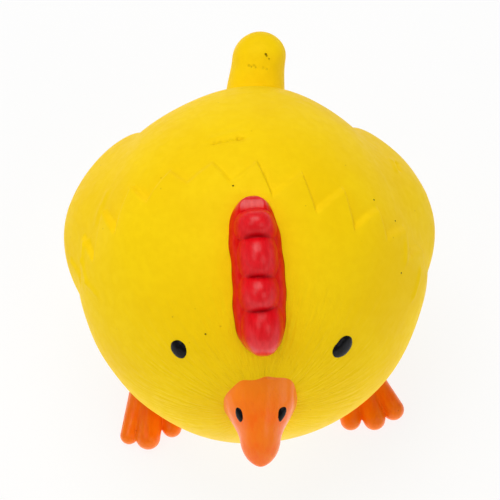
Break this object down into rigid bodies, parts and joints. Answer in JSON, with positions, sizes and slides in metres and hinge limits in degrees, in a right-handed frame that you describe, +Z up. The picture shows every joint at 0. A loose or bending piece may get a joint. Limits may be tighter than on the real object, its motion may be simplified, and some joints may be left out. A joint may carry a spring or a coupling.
{
  "type": "squeaky rubber chicken",
  "caption": "Round soft latex chicken with a lobed comb, beak, wings, tail stub and webbed feet; squeezing its body squeaks a reed in the belly.",
  "frame": {"origin": "the ground under the middle of the toy: halfway from side to side and halfway from the tip of the beak to the tip of the tail", "axes": "+Z up, the chicken faces -Y, and +X is its own left side"},
  "size_m": [0.1003, 0.1223, 0.097],
  "materials": {
    "yellow_latex": "matte",
    "red_latex": "satin",
    "orange_latex": "satin",
    "black_paint": "gloss",
    "fibre": "matte",
    "clear_plastic": "satin",
    "red_plastic": "gloss",
    "reed_film": "gloss"
  },
  "bodies": {
    "base": {"latex_skin": "yellow_latex", "filling": "fibre", "squeaker_cup": "clear_plastic", "squeaker_lid": "clear_plastic", "reed_trough": "red_plastic", "reed_clamp": "red_plastic"},
    "upper_body": {"comb": "red_latex", "beak": "orange_latex", "left_nostril": "black_paint", "right_nostril": "black_paint", "left_eye": "black_paint", "right_eye": "black_paint", "left_wing": "yellow_latex", "right_wing": "yellow_latex"},
    "tail": {"tail": "yellow_latex"},
    "left_foot": {"left_foot": "orange_latex"},
    "right_foot": {"right_foot": "orange_latex"},
    "reed": {"reed": "reed_film"}
  },
  "joints": [
    {"name": "squeeze", "type": "slide", "parent": "base", "child": "upper_body", "axis": [0, 0, -1], "range_m": [0, 0.015], "stiffness_N_per_m": 600, "deforming": ["latex_skin", "filling"]},
    {"name": "tail_bend", "type": "hinge", "parent": "upper_body", "child": "tail", "pos_m": [0.005, 0.04473, 0.05804], "axis": [0, 0.6428, -0.766], "range_deg": [-25, 25], "stiffness_Nm_per_rad": 0.05},
    {"name": "left_foot_bend", "type": "hinge", "parent": "base", "child": "left_foot", "pos_m": [0.02785, -0.01083, 0.006], "axis": [-0.9563, -0.2924, 0], "range_deg": [-15, 20], "stiffness_Nm_per_rad": 0.1},
    {"name": "right_foot_bend", "type": "hinge", "parent": "base", "child": "right_foot", "pos_m": [-0.02785, -0.01083, 0.006], "axis": [-0.9877, 0.1564, 0], "range_deg": [-15, 20], "stiffness_Nm_per_rad": 0.1},
    {"name": "reed_flutter", "type": "hinge", "parent": "base", "child": "reed", "pos_m": [0, -0.00069, 0.00325], "axis": [1, 0, 0], "range_deg": [-3.5, 3.5], "stiffness_Nm_per_rad": 0.0002}
  ]
}
